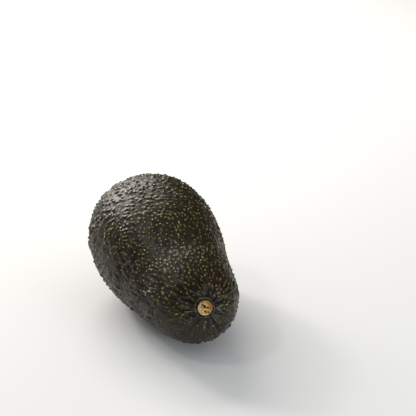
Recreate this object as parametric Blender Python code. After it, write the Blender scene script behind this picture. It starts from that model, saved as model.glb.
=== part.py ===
"""An avocado, picked and lying on its side on a small flat spot.

It has two pieces. The fruit grew as one solid thing. The stem button is the dried stub of
the stalk, and it sits in a shallow round seat on the upper side of the neck end.

The fruit is drawn lying level first, with its blossom end at the origin and its neck end
towards -Y. It is then tipped nose down until its centre of mass is above the point that
it rests on. Units are metres and +Z is up.
"""
import math

import bmesh
import bpy
from mathutils import Matrix, Vector
from mathutils.bvhtree import BVHTree
from mathutils.geometry import convex_hull_2d, interpolate_bezier

# Overall sizes of the fruit
LENGTH = 0.109               # from the blossom end to the neck end, along its bent middle line
WIDTH = 0.066                # across the belly, side to side
HEIGHT = 0.0634              # through the belly, top to bottom
NECK_WIDTH = 0.0494          # across the neck, where it starts to round off

# Outline: where it is widest and where the neck starts to round off
BELLY_FROM_BLOSSOM = 0.034
NECK_FROM_TIP = 0.0296
NECK_TAPER = math.radians(9)
BLOSSOM_FULLNESS = 0.0255    # curve handles: a longer one makes that stretch fuller
BELLY_BACK_FULLNESS = 0.018
BELLY_FRONT_FULLNESS = 0.022
NECK_BACK_FULLNESS = 0.0165
NECK_FRONT_FULLNESS = 0.0125
TIP_FULLNESS = 0.0176

# Lopsided growth: the neck bends up and a little to +X
NECK_BEND = math.radians(14)
NECK_BEND_ROLL = math.radians(68)     # around the middle line, from +X towards +Z

# Stem button and its seat
BUTTON_DIAMETER = 0.0076
BUTTON_PROUD = 0.0004        # height of its middle above the skin
BUTTON_EDGE_ROUND = 0.0006
BUTTON_LEAN = math.radians(25)        # how far it faces away from straight ahead
BUTTON_ROLL = math.radians(118)       # towards which side it leans, as for the neck's bend
BUTTON_HINGE = 0.020         # depth under the neck end of the point that the lean turns on
SEAT_CLEARANCE = 0.0004      # dark crevice all round the button
SEAT_DEPTH = 0.0024
FLOOR_GAP = 0.0003           # under the button

# Resting spot
REST_DEPTH = 0.0004          # how much of the round underside is pressed flat

# Fineness of the mesh
STEPS_AROUND = 48
STEPS_ALONG = 15             # for each of the outline's three stretches
FINE_STEPS = 400             # for finding the resting point
BUTTON_STEPS = 40

FORWARD = Vector((0, -1, 0))
UNDERSIDE = math.radians(270)
TOPSIDE = math.radians(90)


def clear_scene():
    for old in list(bpy.data.objects):
        bpy.data.objects.remove(old, do_unlink=True)


def finish(name, colour, roughness):
    material = bpy.data.materials.new(name)
    material.use_nodes = True
    shader = material.node_tree.nodes["Principled BSDF"]
    shader.inputs["Base Color"].default_value = (*colour, 1)
    shader.inputs["Roughness"].default_value = roughness
    shader.inputs["Metallic"].default_value = 0
    return material


def add_object(name, shape, material=None):
    """Turns a bmesh into a named object."""
    bmesh.ops.recalc_face_normals(shape, faces=shape.faces)
    mesh = bpy.data.meshes.new(name)
    shape.to_mesh(mesh)
    shape.free()
    thing = bpy.data.objects.new(name, mesh)
    bpy.context.collection.objects.link(thing)
    if material:
        mesh.materials.append(material)
        mesh.shade_smooth()
        mesh.set_sharp_from_angle(angle=math.radians(40))
    else:
        thing.display_type = "WIRE"
        thing.hide_render = True
    return thing


def cut(target, cutter):
    boolean = target.modifiers.new(cutter.name, "BOOLEAN")
    boolean.operation = "DIFFERENCE"
    boolean.solver = "EXACT"
    boolean.object = cutter


def sideways(roll):
    """Unit direction across the middle line, at a roll from +X towards +Z."""
    return Vector((math.cos(roll), 0, math.sin(roll)))


def middle_line(along):
    """Centre and turn of the cross-section at a distance along the fruit."""
    bend_length = LENGTH - BELLY_FROM_BLOSSOM
    bend_radius = bend_length / NECK_BEND
    turn = max(along - BELLY_FROM_BLOSSOM, 0) / bend_radius
    ahead = min(along, BELLY_FROM_BLOSSOM) + bend_radius * math.sin(turn)
    aside = bend_radius * (1 - math.cos(turn))
    bend_side = sideways(NECK_BEND_ROLL)
    centre = FORWARD * ahead + bend_side * aside
    return centre, Matrix.Rotation(turn, 3, FORWARD.cross(bend_side))


def outline(steps):
    """Half outline: distances along the fruit with the half width there."""
    taper = Vector((math.cos(NECK_TAPER), -math.sin(NECK_TAPER)))
    blossom = Vector((0, 0))
    belly = Vector((BELLY_FROM_BLOSSOM, WIDTH / 2))
    neck = Vector((LENGTH - NECK_FROM_TIP, NECK_WIDTH / 2))
    tip = Vector((LENGTH, 0))
    stretches = (
        (blossom, blossom + Vector((0, BLOSSOM_FULLNESS)),
         belly - Vector((BELLY_BACK_FULLNESS, 0)), belly),
        (belly, belly + Vector((BELLY_FRONT_FULLNESS, 0)),
         neck - taper * NECK_BACK_FULLNESS, neck),
        (neck, neck + taper * NECK_FRONT_FULLNESS,
         tip + Vector((0, TIP_FULLNESS)), tip),
    )
    points = [blossom]
    for stretch in stretches:
        points += interpolate_bezier(*stretch, steps + 1)[1:]
    return points


def skin_point(along, half_width, roll):
    centre, turn = middle_line(along)
    across = Vector((math.cos(roll), 0, math.sin(roll) * HEIGHT / WIDTH))
    return centre + turn @ (across * half_width)


def fruit_shape():
    """Closed skin: rings across the middle line, with a fan of faces at each end."""
    shape = bmesh.new()
    blossom, *stations, tip = outline(STEPS_ALONG)
    rolls = [2 * math.pi * step / STEPS_AROUND for step in range(STEPS_AROUND)]
    rings = [[shape.verts.new(skin_point(*station, roll)) for roll in rolls]
             for station in stations]
    for near, far in zip(rings, rings[1:]):
        for step in range(STEPS_AROUND):
            after = (step + 1) % STEPS_AROUND
            shape.faces.new((near[step], near[after], far[after], far[step]))
    for end, ring in ((blossom, rings[0]), (tip, rings[-1])):
        pole = shape.verts.new(middle_line(end.x)[0])
        for step in range(STEPS_AROUND):
            shape.faces.new((pole, ring[step], ring[(step + 1) % STEPS_AROUND]))
    bmesh.ops.recalc_face_normals(shape, faces=shape.faces)
    return shape


def centre_of_mass(shape):
    volume = 0
    moment = Vector()
    for a, b, c in ([loop.vert.co for loop in loops] for loops in shape.calc_loop_triangles()):
        wedge = a.dot(b.cross(c)) / 6
        volume += wedge
        moment += wedge * (a + b + c) / 4
    return moment / volume


def resting_edge(balance):
    """The side view's hull edge that the fruit comes to rest on, as two (y, z) points.

    It is the edge that the centre of mass is straight over and nearest to: a very short one
    on a round belly, or a long one where the belly and the neck both touch.
    """
    stations = outline(FINE_STEPS)[1:-1]
    rim = [skin_point(*station, roll).yz for roll in (UNDERSIDE, TOPSIDE) for station in stations]
    hull = [rim[index] for index in convex_hull_2d(rim)]
    under = []
    for near, far in zip(hull, hull[1:] + hull[:1]):
        edge = far - near
        foot = (balance - near).dot(edge) / edge.length_squared
        if 0 <= foot <= 1 and near.y < balance.y:
            under.append(((near + edge * foot - balance).length, near, far))
    return min(under, key=lambda found: found[0])[1:]


def resting_place(shape):
    """The turn and shift that lay the level fruit down on its flat spot.

    The flat spot is pressed in at height 0, and the origin is under the fruit's middle.
    """
    near, far = resting_edge(centre_of_mass(shape).yz)
    slope = (far.y - near.y) / (far.x - near.x)
    level = Matrix.Rotation(-math.atan(slope), 4, "X")
    laid = [level @ vertex.co for vertex in shape.verts]
    middle = [(min(values) + max(values)) / 2 for values in zip(*laid)]
    floor = (level @ Vector((0, *near))).z + REST_DEPTH
    return Matrix.Translation((-middle[0], -middle[1], -floor)) @ level


def button_place(shape):
    """Where the button sits on the level fruit: its own +Z points out of the skin."""
    tip_centre, tip_turn = middle_line(LENGTH)
    hinge = tip_centre - tip_turn @ FORWARD * BUTTON_HINGE
    facing = FORWARD * math.cos(BUTTON_LEAN) + sideways(BUTTON_ROLL) * math.sin(BUTTON_LEAN)
    on_skin, outwards, _, _ = BVHTree.FromBMesh(shape).ray_cast(hinge, tip_turn @ facing)
    return Matrix.Translation(on_skin) @ outwards.to_track_quat("Z", "Y").to_matrix().to_4x4()


def button_shape():
    """Turned stub with a rounded rim, its foot just above the floor of its seat."""
    radius = BUTTON_DIAMETER / 2
    foot = FLOOR_GAP - SEAT_DEPTH
    rim_centre = (radius - BUTTON_EDGE_ROUND, BUTTON_PROUD - BUTTON_EDGE_ROUND)
    rim_steps = 4
    profile = [(0, foot), (radius, foot)]
    for step in range(rim_steps + 1):
        angle = math.pi / 2 * step / rim_steps
        profile.append((rim_centre[0] + BUTTON_EDGE_ROUND * math.cos(angle),
                        rim_centre[1] + BUTTON_EDGE_ROUND * math.sin(angle)))
    profile.append((0, BUTTON_PROUD))
    shape = bmesh.new()
    corners = [shape.verts.new((across, 0, up)) for across, up in profile]
    edges = [shape.edges.new(pair) for pair in zip(corners, corners[1:])]
    bmesh.ops.spin(shape, geom=corners + edges, cent=(0, 0, 0), axis=(0, 0, 1),
                   angle=2 * math.pi, steps=BUTTON_STEPS, use_merge=True)
    bmesh.ops.remove_doubles(shape, verts=shape.verts, dist=1e-6)
    return shape


def seat_cutter_shape():
    shape = bmesh.new()
    radius = BUTTON_DIAMETER / 2 + SEAT_CLEARANCE
    bmesh.ops.create_cone(shape, cap_ends=True, segments=BUTTON_STEPS, radius1=radius,
                          radius2=radius, depth=2 * SEAT_DEPTH)
    return shape


def bench_cutter_shape():
    """A slab under the fruit, with its top at height 0."""
    shape = bmesh.new()
    bmesh.ops.create_cube(shape, size=1)
    bmesh.ops.scale(shape, vec=(WIDTH, LENGTH, HEIGHT), verts=shape.verts)
    bmesh.ops.translate(shape, vec=(0, 0, -HEIGHT / 2), verts=shape.verts)
    return shape


def build():
    clear_scene()
    shape = fruit_shape()
    resting = resting_place(shape)
    seat = resting @ button_place(shape)

    skin = finish("avocado_skin", (0.021, 0.018, 0.012), 0.42)
    wood = finish("dried_stem", (0.46, 0.29, 0.12), 0.8)

    fruit = add_object("fruit", shape, skin)
    fruit.matrix_world = resting

    stem_button = add_object("stem_button", button_shape(), wood)
    stem_button.matrix_world = seat

    seat_cutter = add_object("seat_cutter", seat_cutter_shape())
    seat_cutter.matrix_world = seat
    cut(fruit, seat_cutter)
    cut(fruit, add_object("bench_cutter", bench_cutter_shape()))


build()
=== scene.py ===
import math

import bmesh
import bpy
import numpy as np
from mathutils import Matrix, Quaternion, Vector, noise
from mathutils.bvhtree import BVHTree


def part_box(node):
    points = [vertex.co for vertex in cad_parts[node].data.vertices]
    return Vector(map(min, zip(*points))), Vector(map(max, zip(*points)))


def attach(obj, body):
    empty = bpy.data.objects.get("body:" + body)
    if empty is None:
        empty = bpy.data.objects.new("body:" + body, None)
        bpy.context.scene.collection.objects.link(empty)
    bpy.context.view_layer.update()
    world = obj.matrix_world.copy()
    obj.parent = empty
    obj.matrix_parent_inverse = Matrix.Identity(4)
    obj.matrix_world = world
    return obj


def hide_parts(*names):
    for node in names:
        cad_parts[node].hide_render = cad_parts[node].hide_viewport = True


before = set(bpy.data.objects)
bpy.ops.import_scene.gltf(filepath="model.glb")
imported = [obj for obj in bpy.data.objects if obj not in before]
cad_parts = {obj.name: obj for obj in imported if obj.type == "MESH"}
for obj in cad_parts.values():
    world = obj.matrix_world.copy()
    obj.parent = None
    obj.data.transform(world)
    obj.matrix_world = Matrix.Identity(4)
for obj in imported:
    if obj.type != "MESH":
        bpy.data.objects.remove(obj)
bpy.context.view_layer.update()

MM = 0.001

# Packed fruit, made smooth: what counts as one facet, and how far it is rounded
WELD = 1e-6
FACET_ANGLE = math.radians(40)
ROUNDING_LEVELS = 2

# Skin grid: columns run from the stem button to the blossom end, rows run round them
COLUMNS = 380
ROWS = 246
AIM_ROWS = 200  # rays cast along each column before it is spaced out evenly
FIRST_ROW_SHARE = 0.6  # row spacing beside the button, as a share of the usual one
FIRST_ROWS_REACH = 0.05  # share of the way over which the rows widen out

# Path of the rays' centre inside the fruit, in shares of half the fruit's height
START_DEPTH = 0.7  # under the button
FINISH_DEPTH = 0.9  # in from the blossom end
BLOSSOM_RISE = 0.2  # blossom end over the fruit's middle height

# Seat of the stem button
CREVICE = 0.45 * MM  # gap between the button and the skin's lip
LIP_DEPTH = 1.7 * MM
MEND_INNER = 7 * MM  # inside this the skin follows a smooth cap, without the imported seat's cut
MEND_OUTER = 10 * MM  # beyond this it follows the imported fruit
CAP_REACH = 1.3 * MEND_OUTER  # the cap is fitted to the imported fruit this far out

# Rings down the seat's wall: millimetres past the rim's radius, and depth as a share of LIP_DEPTH
SEAT_WALL = ((0.0, 0.25), (-0.04, 0.55), (-0.08, 0.85), (-0.14, 1.0), (-0.9, 1.06), (-2.4, 1.1))


# ---------------------------------------- small tools

def plain_object(name, mesh):
    thing = bpy.data.objects.new(name, mesh)
    bpy.context.scene.collection.objects.link(thing)
    return thing


def mesh_of(name, shape):
    """The finished shape as a mesh. Frees the shape."""
    mesh = bpy.data.meshes.new(name)
    shape.to_mesh(mesh)
    shape.free()
    return mesh


def add_attribute(mesh, name, values):
    """Stores one number or one vector for each of the mesh's points."""
    kind, key = ("FLOAT", "value") if np.ndim(values) == 1 else ("FLOAT_VECTOR", "vector")
    mesh.attributes.new(name, kind, "POINT").data.foreach_set(key, np.ravel(values).astype(np.float32))


def ease(low, high, value):
    """0 below low, 1 above high, smooth between. Works on arrays, and with low above high."""
    share = np.clip((np.asarray(value, float) - low) / (high - low), 0, 1)
    return share * share * (3 - 2 * share)


class Wiring:
    """Adds nodes to a tree. An input is a plain value, or an output socket to link."""

    def __init__(self, tree):
        self.tree = tree

    def node(self, kind, inputs=None, **settings):
        made = self.tree.nodes.new(kind)
        for key, value in settings.items():
            setattr(made, key, value)
        for key, value in (inputs or {}).items():
            if isinstance(value, bpy.types.NodeSocket):
                self.tree.links.new(value, made.inputs[key])
            else:
                made.inputs[key].default_value = value
        return made

    def take(self, kind, inputs=None, **settings):
        """Adds a node and gives its first output."""
        return self.node(kind, inputs, **settings).outputs[0]

    def math(self, operation, *values, clamp=False):
        return self.take("ShaderNodeMath", dict(enumerate(values)), operation=operation, use_clamp=clamp)

    def product(self, first, *others):
        for other in others:
            first = self.math("MULTIPLY", first, other)
        return first

    def vector(self, operation, *values, out="Vector"):
        made = self.node("ShaderNodeVectorMath", dict(enumerate(values)), operation=operation)
        return made.outputs[out]

    def scaled(self, vector, factor):
        return self.take("ShaderNodeVectorMath", {0: vector, "Scale": factor},
                         operation="SCALE")

    def combined(self, x=0.0, y=0.0, z=0.0):
        return self.take("ShaderNodeCombineXYZ", {0: x, 1: y, 2: z})

    def parts(self, vector):
        return self.node("ShaderNodeSeparateXYZ", {0: vector}).outputs[:3]

    def ranged(self, value, low, high, to_low=0.0, to_high=1.0, kind="SMOOTHSTEP"):
        return self.take("ShaderNodeMapRange", {"Value": value, "From Min": low, "From Max": high,
                                                "To Min": to_low, "To Max": to_high},
                         interpolation_type=kind)

    def blend(self, share, low, high):
        """low where share is 0, high where it is 1."""
        return self.ranged(share, 0.0, 1.0, low, high, kind="LINEAR")

    def noise(self, vector, scale, detail=2.0, roughness=0.5):
        return self.take("ShaderNodeTexNoise", {"Vector": vector, "Scale": scale, "Detail": detail,
                                                "Roughness": roughness}, noise_dimensions="3D")

    def patches(self, vector, scale, low, high, detail=2.0, **levels):
        """Noise as soft patches: 0 where it is under low, 1 where it is over high."""
        return self.ranged(self.noise(vector, scale, detail), low, high, **levels)


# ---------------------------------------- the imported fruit, smoothed

def button_pose(node, fruit_middle):
    """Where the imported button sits: middle of its face, outward direction, and radius."""
    corners = np.array([vertex.co for vertex in node.data.vertices])
    middle = (corners.min(0) + corners.max(0)) / 2
    axis = np.linalg.svd(corners - corners.mean(0), full_matrices=False)[2][2]
    axis *= np.sign(axis @ (middle - fruit_middle))
    heights = (corners - middle) @ axis
    spread = np.linalg.norm((corners - middle) - heights[:, None] * axis, axis=1)
    return middle + axis * heights.max(), axis, spread.max()


def smooth_fruit(node):
    """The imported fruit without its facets, as a tree to cast rays at."""
    shape = bmesh.new()
    shape.from_mesh(node.data)
    bmesh.ops.remove_doubles(shape, verts=shape.verts, dist=WELD)
    bmesh.ops.join_triangles(shape, faces=shape.faces, angle_face_threshold=FACET_ANGLE,
                             angle_shape_threshold=FACET_ANGLE)
    thing = plain_object("smooth_fruit", mesh_of("smooth_fruit", shape))
    rounder = thing.modifiers.new("rounder", "SUBSURF")
    rounder.levels = rounder.render_levels = ROUNDING_LEVELS
    tree = BVHTree.FromObject(thing, bpy.context.evaluated_depsgraph_get())
    bpy.data.objects.remove(thing)
    return tree


class Seat:
    """The button's own axes, and the skin's smooth cap around it."""

    def __init__(self, node, fruit):
        corners = np.array([vertex.co for vertex in fruit.data.vertices])
        self.face, self.out, self.radius = button_pose(node, corners.mean(0))
        side = np.cross((0, 0, 1), self.out)
        self.side = side / np.linalg.norm(side)
        self.up = np.cross(self.out, self.side)
        local = self.local(corners)
        reach = np.hypot(local[:, 0], local[:, 1])
        near = (reach > self.radius + 2 * CREVICE) & (reach < CAP_REACH)
        near &= local[:, 2] > -MEND_OUTER / 2
        self.cap = np.linalg.lstsq(self.terms(local[near]), local[near, 2], rcond=None)[0]

    def local(self, points):
        return (points - self.face) @ np.stack((self.side, self.up, self.out), axis=1)

    def world(self, local):
        return self.face + local @ np.stack((self.side, self.up, self.out))

    @staticmethod
    def terms(local):
        """Terms of the cap's height: all up to the third power, and one round bowl."""
        x, y = local[..., 0] / MEND_OUTER, local[..., 1] / MEND_OUTER
        return np.stack((np.ones_like(x), x, y, x * x, x * y, y * y, x ** 3, x * x * y,
                         x * y * y, y ** 3, (x * x + y * y) ** 2), axis=-1)

    def mend(self, points):
        """Points on the fruit, with those near the seat brought onto the smooth cap."""
        local = self.local(points)
        reach = np.hypot(local[..., 0], local[..., 1])
        share = ease(MEND_OUTER, MEND_INNER, reach) * (local[..., 2] > -MEND_OUTER)
        local[..., 2] += share * (self.terms(local) @ self.cap - local[..., 2])
        return self.world(local)


def columns_of_skin(seat, tree, box):
    """Points on the fruit along each column, from under the button to the blossom end.

    Rays fan out from a point that travels inside the fruit, and they turn from the
    button's direction to the blossom end's as it goes.
    """
    low, high = map(np.array, box)
    middle, half_height = (low + high) / 2, (high - low)[2] / 2
    start = seat.face - seat.out * half_height * START_DEPTH
    blossom = np.array((middle[0], high[1], middle[2] + half_height * BLOSSOM_RISE))
    inward = start - blossom
    inward /= np.linalg.norm(inward)
    finish = blossom + inward * half_height * FINISH_DEPTH
    points = np.zeros((AIM_ROWS, COLUMNS, 3))
    for row, angle in enumerate(np.linspace(0, math.pi, AIM_ROWS)):
        share = (1 - math.cos(angle)) / 2
        centre = start + (finish - start) * share
        axis = Vector(seat.out * (1 - share) + inward * share).normalized()
        turn = Vector(seat.out).rotation_difference(axis)
        side, up = turn @ Vector(seat.side), turn @ Vector(seat.up)
        for column in range(COLUMNS):
            roll = 2 * math.pi * column / COLUMNS
            sideways = side * math.cos(roll) + up * math.sin(roll)
            outwards = axis * math.cos(angle) + sideways * math.sin(angle)
            points[row, column] = tree.ray_cast(Vector(centre), outwards)[0]
    points[0] = points[0].mean(0)
    points[-1] = points[-1].mean(0)
    return seat.mend(points)


def even_rows(seat, points):
    """The columns' points again, spaced evenly from the seat's rim to the blossom end."""
    reach = np.linalg.norm(seat.local(points)[..., :2], axis=-1)
    steps = np.linalg.norm(np.diff(points, axis=0), axis=-1)
    length = np.concatenate((np.zeros((1, COLUMNS)), np.cumsum(steps, axis=0)))
    spacing = 1 - (1 - FIRST_ROW_SHARE) * np.exp(-np.linspace(0, 1, ROWS - 1) / FIRST_ROWS_REACH)
    along = np.concatenate(((0,), np.cumsum(spacing)))
    along /= along[-1]
    rim = seat.radius + CREVICE
    even = np.zeros((ROWS, COLUMNS, 3))
    passed = np.zeros((ROWS, COLUMNS))
    near = slice(0, AIM_ROWS // 4)  # the reach only grows this far, so the rim is found here
    for column in range(COLUMNS):
        first = np.interp(rim, reach[near, column], length[near, column])
        wanted = first + (length[-1, column] - first) * along
        passed[:, column] = wanted
        for axis in range(3):
            even[:, column, axis] = np.interp(wanted, length[:, column], points[:, column, axis])
    return even, passed, along


def add_bands(shape, rings, poles):
    """Faces between closed rings of points, and a fan from each pole to the ring beside it."""
    count = len(rings[0])
    for near, far in zip(rings, rings[1:]):
        for column in range(count):
            after = (column + 1) % count
            shape.faces.new((near[column], far[column], far[after], near[after]))
    for pole, ring in zip(poles, (rings[0], rings[-1])):
        for column in range(count):
            shape.faces.new((pole, ring[column], ring[(column + 1) % count]))
    bmesh.ops.recalc_face_normals(shape, faces=shape.faces)


def smooth_skin(seat, fruit):
    """Closed skin with its patterns' coordinates, before any bump is on it.

    Attributes: along, 0 at the button and 1 at the blossom end; gone, the distance from the
    button; meridian, the direction in which the columns run; rolled, the angle round the
    button as a unit circle.
    """
    points = columns_of_skin(seat, smooth_fruit(fruit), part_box("fruit"))
    rows, passed, along = even_rows(seat, points)
    shape = bmesh.new()
    rings = [[shape.verts.new(point) for point in row] for row in rows[:-1]]
    rim = seat.local(rows[0])
    flat_rim = rim / np.linalg.norm(rim[:, :2], axis=1)[:, None]
    seat_rings = []
    for past_rim, depth in SEAT_WALL:
        local = flat_rim * (seat.radius + CREVICE + past_rim * MM)
        local[:, 2] = rim[:, 2] - depth * LIP_DEPTH
        seat_rings.append([shape.verts.new(point) for point in seat.world(local)])
    floor_height = rim[:, 2].mean() - SEAT_WALL[-1][1] * LIP_DEPTH
    floor = shape.verts.new(seat.world(np.array((0, 0, floor_height))))
    blossom = shape.verts.new(rows[-1].mean(0))
    add_bands(shape, seat_rings[::-1] + rings, (floor, blossom))
    mesh = mesh_of("smooth_skin", shape)

    rolls = 2 * math.pi * np.arange(COLUMNS) / COLUMNS
    circle = np.stack((np.cos(rolls), np.sin(rolls), np.zeros(COLUMNS)), axis=-1)
    meridian = np.gradient(rows, axis=0)
    meridian /= np.maximum(np.linalg.norm(meridian, axis=-1, keepdims=True), 1e-12)

    def spread(field, seat_value, poles):
        """Values in the mesh's vertex order: the rows, the seat's rings, then both poles."""
        flat = field[:-1].reshape(-1, *field.shape[2:])
        rest = np.repeat(seat_value[None], len(SEAT_WALL), axis=0).reshape(-1, *field.shape[2:])
        return np.concatenate((flat, rest, poles))

    every_column = np.repeat(along[:, None], COLUMNS, axis=1)
    every_row = np.repeat(circle[None], ROWS, axis=0)
    in_seat = -0.01
    add_attribute(mesh, "along", spread(every_column, np.full(COLUMNS, in_seat), (in_seat, 1.0)))
    add_attribute(mesh, "gone", spread(passed, np.zeros(COLUMNS), (0.0, passed[-1].mean())))
    add_attribute(mesh, "meridian", spread(meridian, meridian[0], ((1, 0, 0), (1, 0, 0))))
    add_attribute(mesh, "rolled", spread(every_row, circle, ((0, 0, 0), (0, 0, 0))))
    return plain_object("smooth_skin", mesh)


# ---------------------------------------- the stem button

BUTTON_COLUMNS = 120
FACE_RINGS = 34
EDGE_RINGS = 5
BUTTON_DEPTH = 1.8 * MM
EDGE_ROUND = 0.45 * MM

# From here to detailed_button, lengths are in millimetres
SIDE_DEPTHS = (0.9, 1.3, BUTTON_DEPTH / MM)
SIDE_TAPER = 0.03  # narrowing of the side for each millimetre down
SIDE_SHADE = 0.6  # the side gets the hollows' painted shade, by this share
OUTLINE_FRAY = 0.035  # unevenness of the outline, as a share of its radius
SIDE_FRAY = 0.6  # the side has this share of it

# Broken face: height, noise layer and noise scale of its broad and fine waves
FACE_WAVES = ((0.13, 0, 0.7), (0.07, 3, 2.1))
FACE_SINK = 0.12
RIM_RISE = 0.16
RIM_SPAN = (0.62, 0.86)  # shares of the radius over which the face rises to its rim

# Slit across the face: its bends, depth, least width, extra width half way, and raggedness
SLIT_BENDS = ((-1.0, 1.8), (-0.62, 1.15), (-0.24, 0.6), (0.2, -0.24))
SLIT_DEPTH = 0.75
SLIT_LEAST = 0.2
SLIT_EXTRA = 0.44
SLIT_RAGGED = 0.06

# Pits beside it: middle across and up, half-widths across and up, depth
PITS = ((1.25, -0.1, 0.62, 0.46, 0.6), (0.0, -1.6, 0.5, 0.5, 0.45), (-0.2, -2.5, 0.3, 0.26, 0.3),
        (1.4, -2.3, 0.5, 0.4, 0.4), (-0.96, -0.1, 0.34, 0.26, 0.3), (-1.7, 0.75, 0.4, 0.3, 0.2))
PIT_RAGGED = 0.25


def roughness_of(x, y, layer, scale, seed=0.0):
    return noise.fractal(Vector((x * scale + seed, y * scale, layer * scale)), 0.8, 2.0, 3)


def distance_to_slit(x, y):
    """Distance from the slit's middle line, and how far along it lies the nearest point."""
    best, where = math.inf, 0.0
    steps = len(SLIT_BENDS) - 1
    for index in range(steps):
        (ax, ay), (bx, by) = SLIT_BENDS[index], SLIT_BENDS[index + 1]
        run_x, run_y = bx - ax, by - ay
        share = ((x - ax) * run_x + (y - ay) * run_y) / (run_x ** 2 + run_y ** 2)
        share = min(max(share, 0.0), 1.0)
        gap = math.hypot(x - ax - share * run_x, y - ay - share * run_y)
        if gap < best:
            best, where = gap, (index + share) / steps
    return best, where


def button_face_height(x, y, radius):
    """Height of the broken face over its flat level, and how hollow it is there."""
    height = sum(size * roughness_of(x, y, layer, scale) for size, layer, scale in FACE_WAVES)
    starts, ends = RIM_SPAN
    height += RIM_RISE * float(ease(radius * starts, radius * ends, math.hypot(x, y))) - FACE_SINK
    gap, where = distance_to_slit(x, y)
    bulge = math.sin(math.pi * min(max(where, 0.05), 0.98))
    wide = SLIT_LEAST + SLIT_EXTRA * bulge + SLIT_RAGGED * roughness_of(x, y, 7, 2.5)
    hollow = float(ease(wide * 1.3, wide * 0.5, gap))
    depth = SLIT_DEPTH * hollow
    for across, up, wide, tall, deep in PITS:
        share = math.hypot((x - across) / wide, (y - up) / tall)
        share += PIT_RAGGED * roughness_of(x, y, 11, 2.5)
        pit = float(ease(1.25, 0.55, share))
        hollow = max(hollow, pit)
        depth = max(depth, deep * pit)
    return height - depth, hollow


def detailed_button(seat):
    """Broken stem end: an uneven woody face with a slit and pits, and a round side in the seat.

    Attributes: disc, the place on the face from its middle; hollow, 1 in the slit and pits and SIDE_SHADE
    down the side: the share of painted shade.
    """
    radius = seat.radius / MM
    edge = EDGE_ROUND / MM
    face_radius = radius - edge
    shape = bmesh.new()
    rings, disc, hollows = [], [], []

    def on_button(x, y, height):
        return shape.verts.new(seat.world(np.array((x, y, height)) * MM))

    def add_ring(ring_radius, height_of, fray):
        ring = []
        for column in range(BUTTON_COLUMNS):
            roll = 2 * math.pi * column / BUTTON_COLUMNS
            uneven = roughness_of(math.cos(roll), math.sin(roll), 0, 2.2, 5.0)
            reach = ring_radius * (1 + fray * OUTLINE_FRAY * uneven)
            x, y = reach * math.cos(roll), reach * math.sin(roll)
            height, hollow = height_of(x, y)
            ring.append(on_button(x, y, height))
            disc.append((x * MM, y * MM, 0.0))
            hollows.append(hollow)
        rings.append(ring)

    def face(x, y):
        return button_face_height(x, y, radius)

    def edge_lowered(drop):
        return lambda x, y: (face(x * face_radius / radius, y * face_radius / radius)[0] - drop, 0.0)

    def side_at(depth):
        return lambda x, y: (-depth, SIDE_SHADE)

    for ring in range(1, FACE_RINGS + 1):
        share = ring / FACE_RINGS
        add_ring(face_radius * share, face, share ** 3)
    for angle in np.linspace(0, math.pi / 2, EDGE_RINGS + 1)[1:]:
        add_ring(face_radius + edge * math.sin(angle), edge_lowered(edge * (1 - math.cos(angle))), 1.0)
    for depth in SIDE_DEPTHS:
        add_ring(radius * (1 - SIDE_TAPER * depth), side_at(depth), SIDE_FRAY)
    middle_height, middle_hollow = face(0.0, 0.0)
    top = on_button(0, 0, middle_height)
    bottom = on_button(0, 0, -BUTTON_DEPTH / MM)
    disc += [(0, 0, 0), (0, 0, 0)]
    hollows += [middle_hollow, SIDE_SHADE]
    add_bands(shape, rings, (top, bottom))
    mesh = mesh_of("dried_stem", shape)
    mesh.shade_smooth()
    add_attribute(mesh, "disc", disc)
    add_attribute(mesh, "hollow", hollows)
    return plain_object("dried_stem", mesh)


# ---------------------------------------- Geometry Nodes trees

SOCKET_KINDS = {float: "NodeSocketFloat", int: "NodeSocketInt", tuple: "NodeSocketVector",
                bpy.types.Object: "NodeSocketObject", bpy.types.Material: "NodeSocketMaterial"}


def new_tree(name, inputs):
    """An empty geometry tree with a named input for each size. Returns its wiring and inputs.

    A size's own value gives its input's kind. An object or a material is given as its type.
    """
    tree = bpy.data.node_groups.new(name, "GeometryNodeTree")
    tree.interface.new_socket("Geometry", in_out="INPUT", socket_type="NodeSocketGeometry")
    for label, value in inputs.items():
        kind = value if isinstance(value, type) else type(value)
        tree.interface.new_socket(label, in_out="INPUT", socket_type=SOCKET_KINDS[kind])
    tree.interface.new_socket("Geometry", in_out="OUTPUT", socket_type="NodeSocketGeometry")
    wiring = Wiring(tree)
    return wiring, wiring.node("NodeGroupInput").outputs


def grow(name, source, tree, inputs):
    """A plain object: the source mesh with a tree run over it and its modifier gone."""
    thing = plain_object(name, source.copy())
    modifier = thing.modifiers.new(name, "NODES")
    modifier.node_group = tree
    for item in tree.interface.items_tree:
        if item.in_out == "INPUT" and item.name in inputs:
            modifier[item.identifier] = inputs[item.name]
    grown = thing.evaluated_get(bpy.context.evaluated_depsgraph_get())
    mesh = bpy.data.meshes.new_from_object(grown)
    mesh.name = name
    thing.modifiers.clear()
    thing.data = mesh
    return thing


def named(wiring, name, kind="FLOAT"):
    made = wiring.node("GeometryNodeInputNamedAttribute", {"Name": name}, data_type=kind)
    return made.outputs["Attribute"]


def random(wiring, low, high, seed):
    made = wiring.node("FunctionNodeRandomValue", {2: low, 3: high, "Seed": seed}, data_type="FLOAT")
    return made.outputs[1]


def store(wiring, geometry, name, value, domain="POINT"):
    return wiring.take("GeometryNodeStoreNamedAttribute",
                       {"Geometry": geometry, "Name": name, "Value": value},
                       data_type="FLOAT", domain=domain)


def close_tree(wiring, geometry, material):
    """Ends a tree: realizes its instances, sets its material and puts it out."""
    real = wiring.take("GeometryNodeRealizeInstances", {"Geometry": geometry})
    finished = wiring.take("GeometryNodeSetMaterial", {"Geometry": real, "Material": material})
    wiring.node("NodeGroupOutput", {0: finished})
    return wiring.tree


# Where the neck gives over to the round end, as shares of the way along
NECK_TO_ROUND = (0.36, 0.64)

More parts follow.
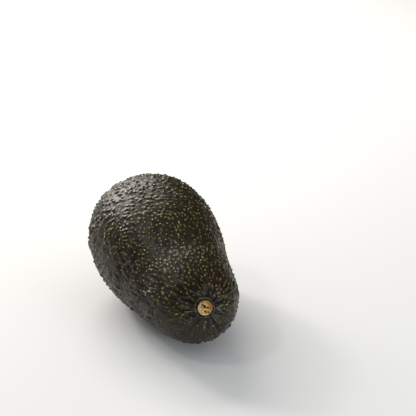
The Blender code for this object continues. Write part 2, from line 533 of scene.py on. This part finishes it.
# Where each pattern starts and is whole, as the distance gone from the button
SEED_ZONE = (6 * MM, 9 * MM)
BUMP_ZONE = (5 * MM, 9 * MM)
LUMP_ZONE = (3 * MM, 7 * MM)
WRINKLE_ZONE = (9 * MM, 16 * MM)
FURROW_ZONE = (16 * MM, 26 * MM)
FOLD_ZONE = (4.6 * MM, 6 * MM)
FOLD_END = (21 * MM, 9 * MM)  # the folds are gone, and still whole
LIP_END = (5.3 * MM, 4.4 * MM)

# Shares of the way along
BLOSSOM_CLEAR = (0.93, 0.78)  # no wrinkles or furrows past the first
BLOSSOM_SCAR = (0.984, 0.989)
LIP_START = (-0.008, 0.0)

# Patterns drawn out lengthwise: radius at which they run round, and length kept lengthwise
FLANK_RUN = (24 * MM, 0.35)
FOLD_RUN = (8 * MM, 0.28)
LIP_RUN = (8 * MM, 1.0)

# Noise scales, in waves for each metre
RAGGED_WAVES = 500.0
BUMP_WIDTH_WAVES = 90.0
BUMP_HEIGHT_WAVES = 70.0
WRINKLE_WAVES = 400.0
WRINKLE_PATCH_WAVES = 110.0
FURROW_WAVES = 240.0
FURROW_PATCH_WAVES = 60.0
FOLD_WAVES = 420.0
LEATHER_WAVES = 330.0
LUMP_WAVES = 38.0
GRAIN_WAVES = 1100.0

RAGGED_OFFSET = 0.55 * MM  # bump outlines and marks stray by up to half of this
NECK_STRAY = 0.25  # radians that a bump turns off its direction, either way
ROUND_STRAY = 1.3
SHORTEST_RIDGE = 0.02 * MM
CREST_SHARPNESS = 2.2

SEED_SIZES = {
    "Bump Spacing": 1.6 * MM,
    "Bump Density": 4e5,
    "Round Share": 0.6,
    "Seed": 7,
}

SKIN_SIZES = {
    "Sinking": 0.22 * MM,
    "Neck Bump Width": 0.68 * MM,
    "Round Bump Width": 0.84 * MM,
    "Neck Bump Length": 2.4 * MM,
    "Round Bump Length": 2.2 * MM,
    "Neck Bump Height": 0.38 * MM,
    "Round Bump Height": 0.76 * MM,
    "Bump Sinking": 0.45 * MM,
    "Wrinkle Height": 0.36 * MM,
    "Fold Height": 1.1 * MM,
    "Furrow Depth": 0.8 * MM,
    "Lump Height": 0.35 * MM,
    "Grain Height": 0.05 * MM,
    "Leather Height": 0.24 * MM,
    "Lip Height": 0.35 * MM,
    "Wart Place": (-23.2 * MM, -10.6 * MM, 12.4 * MM),
    "Wart Width": 1.7 * MM,
    "Wart Height": 1.2 * MM,
    "Scar Place": (-12.8 * MM, -32.6 * MM, 42.3 * MM),
    "Scar Width": 1.1 * MM,
    "Scar Height": 0.25 * MM,
}


def towards_blossom(wiring):
    """0 over the neck and 1 over the round end."""
    return wiring.ranged(named(wiring, "along"), *NECK_TO_ROUND)


def bump_seeds(wiring, given):
    """Evenly strewn points on the skin, one for each bump, and none beside the button."""
    clear = wiring.ranged(named(wiring, "gone"), *SEED_ZONE)
    share = wiring.blend(towards_blossom(wiring), 1.0, given["Round Share"])
    return wiring.node("GeometryNodeDistributePointsOnFaces",
                       {"Mesh": given["Geometry"], "Distance Min": given["Bump Spacing"],
                        "Density Max": given["Bump Density"],
                        "Density Factor": wiring.product(clear, share),
                        "Seed": given["Seed"]}, distribute_method="POISSON")


def bump_ridges(wiring, given):
    """A short line under each bump, sunk by a random amount. Some are long enough to join up.

    Over the neck they lie along the fruit, and over the round end mostly across it.
    """
    strewn = bump_seeds(wiring, given)
    share = towards_blossom(wiring)
    heading = wiring.take("FunctionNodeAlignRotationToVector",
                          {"Rotation": strewn.outputs["Rotation"],
                           "Vector": named(wiring, "meridian", "FLOAT_VECTOR")},
                          axis="X", pivot_axis="Z")
    lean = wiring.product(share, math.radians(90))
    stray = wiring.product(random(wiring, -1.0, 1.0, 11), wiring.blend(share, NECK_STRAY, ROUND_STRAY))
    swing = wiring.take("FunctionNodeAxisAngleToRotation",
                        {"Axis": (0, 0, 1), "Angle": wiring.math("ADD", lean, stray)})
    heading = wiring.take("FunctionNodeRotateRotation", {"Rotation": heading, "Rotate By": swing},
                          rotation_space="LOCAL")
    longest = wiring.blend(share, given["Neck Bump Length"], given["Round Bump Length"])
    length = wiring.product(wiring.math("POWER", random(wiring, 0.0, 1.0, 12), 2.5), longest)
    size = wiring.combined(wiring.math("ADD", length, SHORTEST_RIDGE), 1.0, 1.0)
    depth = wiring.product(random(wiring, 0.0, -1.0, 13), given["Bump Sinking"])
    sunk = wiring.take("GeometryNodeSetPosition",
                       {"Geometry": strewn.outputs["Points"],
                        "Offset": wiring.scaled(strewn.outputs["Normal"], depth)})
    line = wiring.take("GeometryNodeMeshLine",
                       {"Count": 2, "Start Location": (-0.5, 0, 0), "Offset": (1, 0, 0)})
    laid = wiring.take("GeometryNodeInstanceOnPoints",
                       {"Points": sunk, "Instance": line, "Rotation": heading, "Scale": size})
    return wiring.take("GeometryNodeRealizeInstances", {"Geometry": laid})


def ridged(wiring, vector, scale, detail=1.0):
    """Noise folded at its middle value, which leaves crests 1 high on winding lines."""
    centred = wiring.math("MULTIPLY_ADD", wiring.noise(vector, scale, detail), 2.0, -1.0)
    folded = wiring.math("ABSOLUTE", wiring.product(centred, CREST_SHARPNESS))
    return wiring.math("SUBTRACT", 1.0, folded, clamp=True)


def running_lengthwise(wiring, radius, stretch):
    """Coordinates that run round the fruit at a radius, and slowly along it."""
    wound = wiring.scaled(named(wiring, "rolled", "FLOAT_VECTOR"), radius)
    drawn_out = wiring.product(named(wiring, "gone"), stretch)
    return wiring.vector("ADD", wound, wiring.combined(z=drawn_out))


def varied(wiring, place, scale, least, extra):
    """A size's share, from the least up by as much of the extra as the noise gives."""
    return wiring.math("MULTIPLY_ADD", wiring.noise(place, scale), extra, least)


def raised_bumps(wiring, given, place, ragged_place):
    """How far up a bump each point lies, and how high that raises it."""
    share = towards_blossom(wiring)
    near = wiring.node("GeometryNodeProximity",
                       {0: bump_ridges(wiring, given), "Source Position": ragged_place},
                       target_element="EDGES").outputs["Distance"]
    width = wiring.blend(share, given["Neck Bump Width"], given["Round Bump Width"])
    width = wiring.product(width, varied(wiring, place, BUMP_WIDTH_WAVES, 0.55, 0.9))
    reach = wiring.math("DIVIDE", near, width)
    rise = wiring.math("SUBTRACT", 1.0, wiring.product(reach, reach), clamp=True)
    height = wiring.blend(share, given["Neck Bump Height"], given["Round Bump Height"])
    height = wiring.product(height, varied(wiring, place, BUMP_HEIGHT_WAVES, 0.4, 1.2))
    return rise, wiring.product(rise, height)


def flank_patterns(wiring, place, upwards):
    """Lengthwise wrinkles, and furrows on the sides, both in patches and clear of the blossom end."""
    gone = named(wiring, "gone")
    before_blossom = wiring.ranged(named(wiring, "along"), *BLOSSOM_CLEAR)
    wrinkle = wiring.product(ridged(wiring, running_lengthwise(wiring, *FLANK_RUN), WRINKLE_WAVES, 0.5),
                             wiring.blend(towards_blossom(wiring), 1.0, 0.35),
                             wiring.patches(place, WRINKLE_PATCH_WAVES, 0.42, 0.6),
                             before_blossom,
                             wiring.ranged(upwards, 0.9, 0.4, 0.35, 1.0),
                             wiring.ranged(gone, *WRINKLE_ZONE))
    furrow = ridged(wiring, running_lengthwise(wiring, *FLANK_RUN), FURROW_WAVES)
    furrow = wiring.product(wiring.ranged(furrow, 0.66, 0.95),
                            wiring.patches(place, FURROW_PATCH_WAVES, 0.45, 0.6),
                            wiring.ranged(upwards, 0.75, 0.2),
                            wiring.ranged(gone, *FURROW_ZONE),
                            before_blossom)
    return wrinkle, furrow


def seat_patterns(wiring):
    """Folds round the button: their crests and valleys. Then the frayed lip at the button's edge."""
    gone = named(wiring, "gone")
    window = wiring.product(wiring.ranged(gone, *FOLD_ZONE), wiring.ranged(gone, *FOLD_END))
    crest = ridged(wiring, running_lengthwise(wiring, *FOLD_RUN), FOLD_WAVES, 0.5)
    crest = wiring.product(crest, window)
    lip = wiring.product(wiring.ranged(gone, *LIP_END),
                         wiring.patches(running_lengthwise(wiring, *LIP_RUN), FOLD_WAVES, 0.35, 0.7),
                         wiring.ranged(named(wiring, "along"), *LIP_START))
    return crest, wiring.math("SUBTRACT", window, crest), lip


def marks(wiring, given, ragged_place):
    """The wart on the lower flank, and the scars above the button and at the blossom end."""
    from_wart, from_scar = (wiring.vector("DISTANCE", ragged_place, given[mark], out="Value")
                            for mark in ("Wart Place", "Scar Place"))
    wart = wiring.ranged(from_wart, given["Wart Width"], 0.0)
    scar = wiring.ranged(from_scar, given["Scar Width"], wiring.product(given["Scar Width"], 0.5))
    blossom_scar = wiring.ranged(named(wiring, "along"), *BLOSSOM_SCAR)
    return wart, wiring.math("MAXIMUM", scar, blossom_scar)


def pebbled_skin_tree():
    """Raises the skin's bumps, wrinkles, folds and marks along its normals, and sinks its furrows.

    Attributes: rise, 1 on top of a bump; cleft, 1 in a furrow; crest and valley of the folds
    round the button; lip; scar.
    """
    wiring, given = new_tree("pebbled_skin", {**SEED_SIZES, **SKIN_SIZES, "Skin": bpy.types.Material})
    gone = named(wiring, "gone")
    place = wiring.take("GeometryNodeInputPosition")
    normal = wiring.take("GeometryNodeInputNormal")
    ragged = wiring.node("ShaderNodeTexNoise", {"Vector": place, "Scale": RAGGED_WAVES, "Detail": 0.0})
    ragged = wiring.vector("SUBTRACT", ragged.outputs["Color"], (0.5, 0.5, 0.5))
    ragged_place = wiring.vector("ADD", place, wiring.scaled(ragged, RAGGED_OFFSET))

    rise, bump = raised_bumps(wiring, given, place, ragged_place)
    clear_of_seat = wiring.ranged(gone, *BUMP_ZONE)
    wrinkle, furrow = flank_patterns(wiring, place, wiring.parts(normal)[2])
    crest, valley, lip = seat_patterns(wiring)
    wart, scar = marks(wiring, given, ragged_place)
    between_bumps = wiring.math("SUBTRACT", 1.0, wiring.product(rise, 0.7))
    leather = wiring.product(ridged(wiring, place, LEATHER_WAVES), towards_blossom(wiring), between_bumps)
    lump = wiring.math("SUBTRACT", wiring.noise(place, LUMP_WAVES), 0.5)
    grain = wiring.math("SUBTRACT", wiring.noise(place, GRAIN_WAVES), 0.5)

    raised = wiring.math("ADD", wiring.product(lump, given["Lump Height"]),
                         wiring.product(grain, given["Grain Height"]))
    raised = wiring.product(raised, wiring.ranged(gone, *LUMP_ZONE))
    for height in (wiring.product(bump, clear_of_seat), wiring.product(wrinkle, given["Wrinkle Height"]),
                   wiring.product(lip, given["Lip Height"]), wiring.product(wart, given["Wart Height"]),
                   wiring.product(scar, given["Scar Height"]),
                   wiring.product(leather, given["Leather Height"])):
        raised = wiring.math("ADD", raised, height)
    for depth in (wiring.product(valley, given["Fold Height"]),
                  wiring.product(furrow, given["Furrow Depth"]),
                  wiring.product(clear_of_seat, given["Sinking"])):
        raised = wiring.math("SUBTRACT", raised, depth)

    shaped = wiring.take("GeometryNodeSetPosition",
                         {"Geometry": given["Geometry"], "Offset": wiring.scaled(normal, raised)})
    above_floor = wiring.vector("MAXIMUM", wiring.take("GeometryNodeInputPosition"), (-1, -1, 0))
    shaped = wiring.take("GeometryNodeSetPosition", {"Geometry": shaped, "Position": above_floor})
    for name, value in (("rise", wiring.product(rise, clear_of_seat)), ("cleft", furrow), ("lip", lip),
                        ("scar", scar), ("crest", crest), ("valley", valley)):
        shaped = store(wiring, shaped, name, value)
    shaped = wiring.take("GeometryNodeSetShadeSmooth", {"Geometry": shaped})
    return close_tree(wiring, shaped, given["Skin"])


KNOB_SIZES = {
    "Smallest Neck Knob": 0.26 * MM,
    "Largest Neck Knob": 0.46 * MM,
    "Smallest Round Knob": 0.28 * MM,
    "Largest Round Knob": 0.52 * MM,
    "Longest Stretch": 1.7,
    "Share With Knobs": 0.95,
    "Lowest Knob": 1.2 * MM,
}

KNOB_SIDES = 7
KNOB_PROFILE = ((1.0, -0.55), (0.97, 0.05), (0.74, 0.42), (0.36, 0.62))  # radius, height
KNOB_TOP = 0.68
KNOB_HEIGHTS = (0.45, 0.75)  # lowest and tallest, as shares of the knob's size
SEARCH_HEIGHT = 3 * MM  # the finished skin is looked for from this far out
SEARCH_LENGTH = 8 * MM


def unit_knob():
    """A small closed dome with a foot radius of one unit. Attribute: crown, 1 at its top."""
    shape = bmesh.new()
    rings = []
    turns = [2 * math.pi * side / KNOB_SIDES for side in range(KNOB_SIDES)]
    for radius, height in KNOB_PROFILE:
        rings.append([shape.verts.new((radius * math.cos(turn), radius * math.sin(turn), height))
                      for turn in turns])
    for near, far in zip(rings, rings[1:]):
        for side in range(KNOB_SIDES):
            after = (side + 1) % KNOB_SIDES
            shape.faces.new((near[side], near[after], far[after], far[side]))
    shape.faces.new(rings[0][::-1])
    top = shape.verts.new((0, 0, KNOB_TOP))
    for side in range(KNOB_SIDES):
        shape.faces.new((rings[-1][side], rings[-1][(side + 1) % KNOB_SIDES], top))
    mesh = mesh_of("unit_knob", shape)
    mesh.shade_smooth()
    add_attribute(mesh, "crown", [max(vertex.co.z, 0) / KNOB_TOP for vertex in mesh.vertices])
    return plain_object("unit_knob", mesh)


def corky_knobs_tree():
    """Sets a corky knob on top of most bumps, with its foot sunk into the finished skin.

    Attributes: tint, random for each knob; round_end, 0 over the neck and 1 over the round end.
    """
    wiring, given = new_tree("corky_knobs", {**SEED_SIZES, **KNOB_SIZES, "Knob": bpy.types.Object,
                                             "Finished Skin": bpy.types.Object,
                                             "Cork": bpy.types.Material})
    strewn = bump_seeds(wiring, given)
    normal = strewn.outputs["Normal"]
    place = wiring.take("GeometryNodeInputPosition")
    by_slope = wiring.ranged(wiring.parts(normal)[2], -0.25, 0.55, 0.08, 1.0)
    off_floor = wiring.math("GREATER_THAN", wiring.parts(place)[2], given["Lowest Knob"])
    wanted = wiring.product(given["Share With Knobs"], by_slope, off_floor)
    skipped = wiring.math("GREATER_THAN", random(wiring, 0.0, 1.0, 21), wanted)
    kept = wiring.take("GeometryNodeDeleteGeometry",
                       {"Geometry": strewn.outputs["Points"], "Selection": skipped},
                       domain="POINT")

    finished = wiring.node("GeometryNodeObjectInfo", {"Object": given["Finished Skin"]})
    above = wiring.vector("ADD", place, wiring.scaled(normal, SEARCH_HEIGHT))
    hit = wiring.node("GeometryNodeRaycast",
                      {"Target Geometry": finished.outputs["Geometry"], "Source Position": above,
                       "Ray Direction": wiring.scaled(normal, -1.0), "Ray Length": SEARCH_LENGTH})
    facing = wiring.take("FunctionNodeAlignRotationToVector",
                         {"Vector": hit.outputs["Hit Normal"]}, axis="Z")
    facing = wiring.take("FunctionNodeAlignRotationToVector",
                         {"Rotation": facing, "Vector": named(wiring, "meridian", "FLOAT_VECTOR")},
                         axis="X", pivot_axis="Z")
    seated = wiring.take("GeometryNodeSetPosition",
                         {"Geometry": kept, "Position": hit.outputs["Hit Position"]})

    size = wiring.math("POWER", random(wiring, 0.0, 1.0, 22), 1.4)
    neck_size = wiring.blend(size, given["Smallest Neck Knob"], given["Largest Neck Knob"])
    round_size = wiring.blend(size, given["Smallest Round Knob"], given["Largest Round Knob"])
    size = wiring.blend(towards_blossom(wiring), neck_size, round_size)
    stretch = wiring.math("POWER", random(wiring, 0.0, 1.0, 24), 2.0)
    longer = wiring.product(size, wiring.blend(stretch, 1.0, given["Longest Stretch"]))
    tall = wiring.product(size, random(wiring, *KNOB_HEIGHTS, 25))
    shape = wiring.node("GeometryNodeObjectInfo", {"Object": given["Knob"]}).outputs["Geometry"]
    knobs = wiring.take("GeometryNodeInstanceOnPoints",
                        {"Points": seated, "Instance": shape, "Rotation": facing,
                         "Scale": wiring.combined(longer, size, tall)})
    knobs = store(wiring, knobs, "tint", random(wiring, 0.0, 1.0, 23), domain="INSTANCE")
    knobs = store(wiring, knobs, "round_end", towards_blossom(wiring), domain="INSTANCE")
    return close_tree(wiring, knobs, given["Cork"])


# ---------------------------------------- camera, stage and light

# Camera: the point it stands round, its direction and distance from there, and its turn off that point
AIM = (0, 0.0053, 0.0294)
AZIMUTH, ELEVATION = math.radians(-19.4), math.radians(26.3)
DISTANCE = 0.6
TURN_RIGHT, TURN_UP, ROLL = math.radians(2.16), math.radians(2.39), math.radians(0.9)
LENS = 102.3
CLIP_NEAR, CLIP_FAR = 0.01, 10

FLOOR_HALF = 3.0
FLOOR_COLOUR = (0.5, 0.5, 0.5, 1)
WORLD_COLOUR = (1, 1, 1, 1)
WORLD_STRENGTH = 0.82

# Softboxes: name, place, aim, width, height, watts, colour, lean in degrees
SOFTBOXES = (
    ("back_softbox", (-0.1, 0.78, 0.56), (0, 0.03, 0.04), 1.0, 0.34, 13.0, (1, 0.96, 0.89), -25),
    ("glint_softbox", (-0.3, 0.72, 0.5), (0, 0.02, 0.04), 0.14, 0.1, 2.6, (1, 0.97, 0.91), 0),
    ("top_softbox", (-0.5, 0.1, 0.8), (0, 0, 0.03), 0.1, 0.1, 1.0, (1, 1, 1), 0),
    ("front_softbox", (0.4, -0.72, 0.16), (0, -0.03, 0.04), 0.5, 0.14, 3.6, (0.8, 0.9, 1), 0),
)


def aim_camera():
    """Looks down along the neck from a little to one side, with the fruit low and left."""
    back = Vector((math.sin(AZIMUTH) * math.cos(ELEVATION), -math.cos(AZIMUTH) * math.cos(ELEVATION),
                   math.sin(ELEVATION)))
    right = Vector((math.cos(AZIMUTH), math.sin(AZIMUTH), 0))
    up = back.cross(right)
    forward = (right * math.tan(TURN_RIGHT) + up * math.tan(TURN_UP) - back).normalized()
    across = forward.cross(up).normalized()
    straight = Matrix((across, across.cross(forward), -forward)).transposed()
    data = bpy.data.cameras.new("camera")
    data.lens = LENS
    data.clip_start, data.clip_end = CLIP_NEAR, CLIP_FAR
    camera = plain_object("camera", data)
    camera.location = Vector(AIM) + back * DISTANCE
    camera.rotation_mode = "QUATERNION"
    camera.rotation_quaternion = (straight @ Matrix.Rotation(-ROLL, 3, "Z")).to_quaternion()
    bpy.context.scene.camera = camera


def softbox(name, place, aim, width, height, watts, colour, lean):
    data = bpy.data.lights.new(name, "AREA")
    data.shape = "ELLIPSE"
    data.size, data.size_y = width, height
    data.energy = watts
    data.color = colour
    light = plain_object(name, data)
    light.location = place
    light.rotation_mode = "QUATERNION"
    turned = (Vector(place) - Vector(aim)).to_track_quat("Z", "Y")
    light.rotation_quaternion = turned @ Quaternion((0, 0, 1), math.radians(lean))


def set_stage():
    """A pale floor, an even pale world that adds no reflections, and the softboxes."""
    material, _, shader = new_material("white_floor")
    shader.inputs["Base Color"].default_value = FLOOR_COLOUR
    shader.inputs["Roughness"].default_value = 0.9
    shader.inputs["Specular IOR Level"].default_value = 0.2
    corners = [(x * FLOOR_HALF, y * FLOOR_HALF, 0) for x, y in ((-1, -1), (1, -1), (1, 1), (-1, 1))]
    mesh = bpy.data.meshes.new("floor")
    mesh.from_pydata(corners, [], [(0, 1, 2, 3)])
    mesh.materials.append(material)
    plain_object("floor", mesh)
    world = bpy.data.worlds.new("studio")
    bpy.context.scene.world = world
    world.use_nodes = True
    world.node_tree.nodes["Background"].inputs["Color"].default_value = WORLD_COLOUR
    world.node_tree.nodes["Background"].inputs["Strength"].default_value = WORLD_STRENGTH
    world.cycles_visibility.glossy = False
    for settings in SOFTBOXES:
        softbox(*settings)
    bpy.context.scene.view_settings.view_transform = "Standard"


# ---------------------------------------- finishes

BROWN_BLACK = (0.012, 0.0095, 0.006, 1)
OLIVE_BLACK = (0.0145, 0.0137, 0.0062, 1)
PURPLE_BLACK = (0.018, 0.011, 0.0085, 1)
FLECK_TAN = (0.08, 0.05, 0.014, 1)
NECK_BUMP_BROWN = (0.045, 0.033, 0.01, 1)
ROUND_BUMP_BROWN = (0.085, 0.056, 0.011, 1)
# Painted shade for the furrows and the fold valleys
FURROW_SHADE_BLACK = (0.006, 0.005, 0.004, 1)
# Painted highlight: light grey painted on the fold crests round the button
CREST_HIGHLIGHT_GREY = (0.05, 0.05, 0.049, 1)
SCAR_TAN = (0.17, 0.135, 0.08, 1)
LIP_TAN = (0.1, 0.08, 0.045, 1)
# Painted shade for the seat's wall in the gap round the button
SEAT_SHADE_BROWN = (0.012, 0.007, 0.004, 1)

# Each pair is the darkest and the lightest knob
NECK_KNOBS = ((0.09, 0.036, 0.003, 1), (0.25, 0.19, 0.008, 1))
ROUND_KNOBS = ((0.13, 0.065, 0.008, 1), (0.4, 0.27, 0.04, 1))
# Painted shade round each knob's foot
KNOB_FOOT_SHADE = (0.03, 0.018, 0.008, 1)
KNOB_STAIN_BROWN = (0.06, 0.035, 0.012, 1)

WOOD_BROWN = (0.24, 0.115, 0.018, 1)
WOOD_TAN = (0.42, 0.27, 0.06, 1)
WOOD_CREAM = (0.56, 0.45, 0.22, 1)
WOOD_ORANGE = (0.2, 0.088, 0.014, 1)
WOOD_GREY = (0.3, 0.25, 0.15, 1)
WOOD_STAIN = (0.11, 0.045, 0.01, 1)
# Painted shade for the slit, the pits and the side in the seat
HOLLOW_SHADE_BLACK = (0.022, 0.012, 0.006, 1)
# Painted shadow ring round the button's rim, for the gap to the skin
RIM_SHADOW_BLACK = (0.035, 0.012, 0.006, 1)

CREASE_RADII = (8 * MM, 24 * MM)  # fine creases run round at these, near the button and past it
CREASE_ZONE = (13 * MM, 24 * MM)
CREASE_STRETCH = 0.3


def new_material(name):
    material = bpy.data.materials.new(name)
    material.use_nodes = True
    return material, Wiring(material.node_tree), material.node_tree.nodes["Principled BSDF"]


def attribute(wiring, name, out="Fac"):
    return wiring.node("ShaderNodeAttribute", attribute_name=name).outputs[out]


def mixed(wiring, share, first, second):
    made = wiring.node("ShaderNodeMix", {0: share, 6: first, 7: second}, data_type="RGBA")
    return made.outputs[2]


def painted(wiring, colour, layers):
    """The colour with each layer's paint over it, by the layer's share."""
    for share, paint in layers:
        colour = mixed(wiring, share, colour, paint)
    return colour


def dress(wiring, shader, colour, rough, specular, relief):
    """Links a finish's colour, roughness and fine relief to its shader, and sets its specular level.

    The relief is its strength, its depth and its pattern.
    """
    strength, depth, pattern = relief
    bump = wiring.node("ShaderNodeBump", {"Strength": strength, "Distance": depth, "Height": pattern})
    for name, value in (("Base Color", colour), ("Roughness", rough), ("Normal", bump.outputs[0])):
        wiring.tree.links.new(value, shader.inputs[name])
    shader.inputs["Specular IOR Level"].default_value = specular


def skin_finish():
    """Dark skin: brown, olive and purple patches; bumps painted lighter, partly their golden tint and partly
    painted highlight; painted shade in the furrows, the fold valleys and the button's seat; painted
    highlight on the fold crests; pale scars and lip.
    """
    material, wiring, shader = new_material("avocado_skin")
    place = wiring.node("ShaderNodeTexCoord").outputs["Object"]
    rise, gone, along = (attribute(wiring, name) for name in ("rise", "gone", "along"))

    def by_end(at_neck, at_round_end):
        return wiring.ranged(along, *NECK_TO_ROUND, at_neck, at_round_end)

    bump_tint_and_highlight = mixed(wiring, by_end(0.0, 1.0), NECK_BUMP_BROWN, ROUND_BUMP_BROWN)
    # Painted highlight: the fold crests are painted light grey in broken streaks, standing in for glints
    crest_highlight = wiring.product(wiring.ranged(attribute(wiring, "crest"), 0.6, 0.95, 0.0, 0.9),
                           wiring.patches(place, 500.0, 0.35, 0.6))
    base = mixed(wiring, wiring.patches(place, 120.0, 0.35, 0.65, detail=3.0), BROWN_BLACK, OLIVE_BLACK)
    colour = painted(wiring, base, (
        (wiring.patches(place, 75.0, 0.52, 0.78, detail=3.0), PURPLE_BLACK),
        (wiring.product(wiring.patches(place, 1300.0, 0.56, 0.74), 0.3), FLECK_TAN),
        # Bump tops painted lighter: partly the bumps' own golden tint, partly painted highlight
        (wiring.product(rise, 0.9), bump_tint_and_highlight),
        # Painted shade: the furrows and the fold valleys round the button are darkened near black
        (wiring.product(attribute(wiring, "cleft"), 0.8), FURROW_SHADE_BLACK),
        (wiring.ranged(attribute(wiring, "valley"), 0.35, 0.9, 0.0, 0.6), FURROW_SHADE_BLACK),
        (crest_highlight, CREST_HIGHLIGHT_GREY),
        (attribute(wiring, "scar"), SCAR_TAN),
        (attribute(wiring, "lip"), LIP_TAN),
        # Painted shade: the seat's wall down to the button is darkened
        (wiring.ranged(along, -0.001, -0.008), SEAT_SHADE_BROWN),
    ))

    rough = wiring.ranged(wiring.noise(place, 700.0, 3.0), 0.3, 0.7, 0.27, 0.4, kind="LINEAR")
    rough = wiring.math("ADD", rough, by_end(0.0, 0.1))
    rough = wiring.math("SUBTRACT", rough, wiring.product(rise, by_end(-0.06, 0.27)))
    rough = wiring.math("SUBTRACT", rough, wiring.ranged(gone, 22 * MM, 9 * MM, 0.0, 0.13))

    drawn_out = wiring.combined(z=wiring.product(gone, CREASE_STRETCH))
    rolled = attribute(wiring, "rolled", "Vector")
    creases = [wiring.noise(wiring.vector("ADD", wiring.scaled(rolled, radius), drawn_out), 1000.0, 2.0, 0.6)
               for radius in CREASE_RADII]
    crease = wiring.blend(wiring.ranged(gone, *CREASE_ZONE), *creases)
    crease = wiring.product(crease, wiring.ranged(along, 0.95, 0.75))
    fine = wiring.math("MULTIPLY_ADD", wiring.noise(place, 1300.0, 3.0, 0.6), 0.35, crease)
    smoother_on_bumps = wiring.math("MULTIPLY_ADD", rise, -0.5, 1.0)
    fine = wiring.product(fine, smoother_on_bumps, by_end(1.0, 0.85))
    dress(wiring, shader, colour, rough, 0.23, (1.0, 0.2 * MM, fine))
    return material


def cork_finish():
    """Corky knobs: yellow and orange over the neck, browner on the round end, with painted shade dark round
    the foot.
    """
    material, wiring, shader = new_material("corky_knobs")
    tint, round_end, crown = (attribute(wiring, name) for name in ("tint", "round_end", "crown"))
    place = wiring.node("ShaderNodeTexCoord").outputs["Object"]
    base = mixed(wiring, round_end, mixed(wiring, tint, *NECK_KNOBS), mixed(wiring, tint, *ROUND_KNOBS))
    colour = painted(wiring, base, (
        # Painted shade: the knob's lower flanks, where it meets the skin, are darkened
        (wiring.ranged(crown, 0.6, 0.05), KNOB_FOOT_SHADE),
        (wiring.product(wiring.patches(place, 2500.0, 0.45, 0.75), 0.5), KNOB_STAIN_BROWN),
    ))
    rough = wiring.ranged(wiring.noise(place, 1800.0), 0.3, 0.7, 0.24, 0.4, kind="LINEAR")
    coat = wiring.ranged(round_end, 0.0, 1.0, 0.35, 1.0)
    wiring.tree.links.new(coat, shader.inputs["Coat Weight"])
    shader.inputs["Coat Roughness"].default_value = 0.13
    dress(wiring, shader, colour, rough, 0.3, (0.5, 0.05 * MM, wiring.noise(place, 4000.0)))
    return material


def stem_finish():
    """Dry wood: tan with cream and orange-brown patches; painted shade, near black, in the hollows and down
    the side, and a painted shadow ring round the rim.
    """
    material, wiring, shader = new_material("dried_stem")
    disc = attribute(wiring, "disc", "Vector")
    across, up, _ = wiring.parts(disc)
    reach = wiring.vector("LENGTH", disc, out="Value")
    other_place = wiring.vector("ADD", disc, (0.01, 0.02, 0))
    cream = wiring.product(wiring.patches(other_place, 800.0, 0.45, 0.58),
                           wiring.ranged(across, 1.6 * MM, 0.2 * MM), 0.85)
    right = wiring.product(wiring.ranged(across, 1.0 * MM, 2.6 * MM),
                           wiring.ranged(up, -2.6 * MM, -0.6 * MM))
    top = wiring.product(wiring.ranged(up, 1.6 * MM, 2.8 * MM), 0.7)
    left = wiring.product(wiring.ranged(across, -0.9 * MM, -2.4 * MM),
                          wiring.ranged(reach, 2.5 * MM, 3.2 * MM), 0.7)
    uneven_reach = wiring.math("ADD", reach, wiring.product(wiring.noise(disc, 900.0), 0.5 * MM))
    base = mixed(wiring, wiring.patches(disc, 700.0, 0.42, 0.58, detail=3.0), WOOD_BROWN, WOOD_TAN)
    colour = painted(wiring, base, (
        (cream, WOOD_CREAM),
        (wiring.math("MAXIMUM", right, top), WOOD_ORANGE),
        (left, WOOD_GREY),
        (wiring.product(wiring.ranged(wiring.noise(disc, 1500.0, 3.0, 0.65), 0.52, 0.63), 0.75), WOOD_STAIN),
        # Painted shade: near black in the slit and pits, and part way down the side in the seat
        (attribute(wiring, "hollow"), HOLLOW_SHADE_BLACK),
        # Painted shadow: a near black ring round the face's rim, for the gap between button and skin
        (wiring.product(wiring.ranged(uneven_reach, 3.62 * MM, 3.85 * MM), 0.92), RIM_SHADOW_BLACK),
    ))
    rough = wiring.ranged(wiring.noise(disc, 2000.0), 0.3, 0.7, 0.55, 0.8, kind="LINEAR")
    dress(wiring, shader, colour, rough, 0.3, (0.8, 0.12 * MM, wiring.noise(disc, 2200.0, 3.0, 0.65)))
    return material


# ---------------------------------------- make it

fruit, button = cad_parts["fruit"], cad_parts["stem_button"]
seat = Seat(button, fruit)
smooth = smooth_skin(seat, fruit)
knob = unit_knob()
skin = grow("skin", smooth.data, pebbled_skin_tree(),
            {**SEED_SIZES, **SKIN_SIZES, "Skin": skin_finish()})
knobs = grow("corky_knobs", smooth.data, corky_knobs_tree(),
             {**SEED_SIZES, **KNOB_SIZES, "Knob": knob, "Finished Skin": skin, "Cork": cork_finish()})
bpy.data.objects.remove(smooth)
bpy.data.objects.remove(knob)
stem = detailed_button(seat)
stem.data.materials.append(stem_finish())
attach(stem, "root")
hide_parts("stem_button")
for piece in (skin, knobs):
    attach(piece, "root")
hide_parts("fruit")
aim_camera()
set_stage()
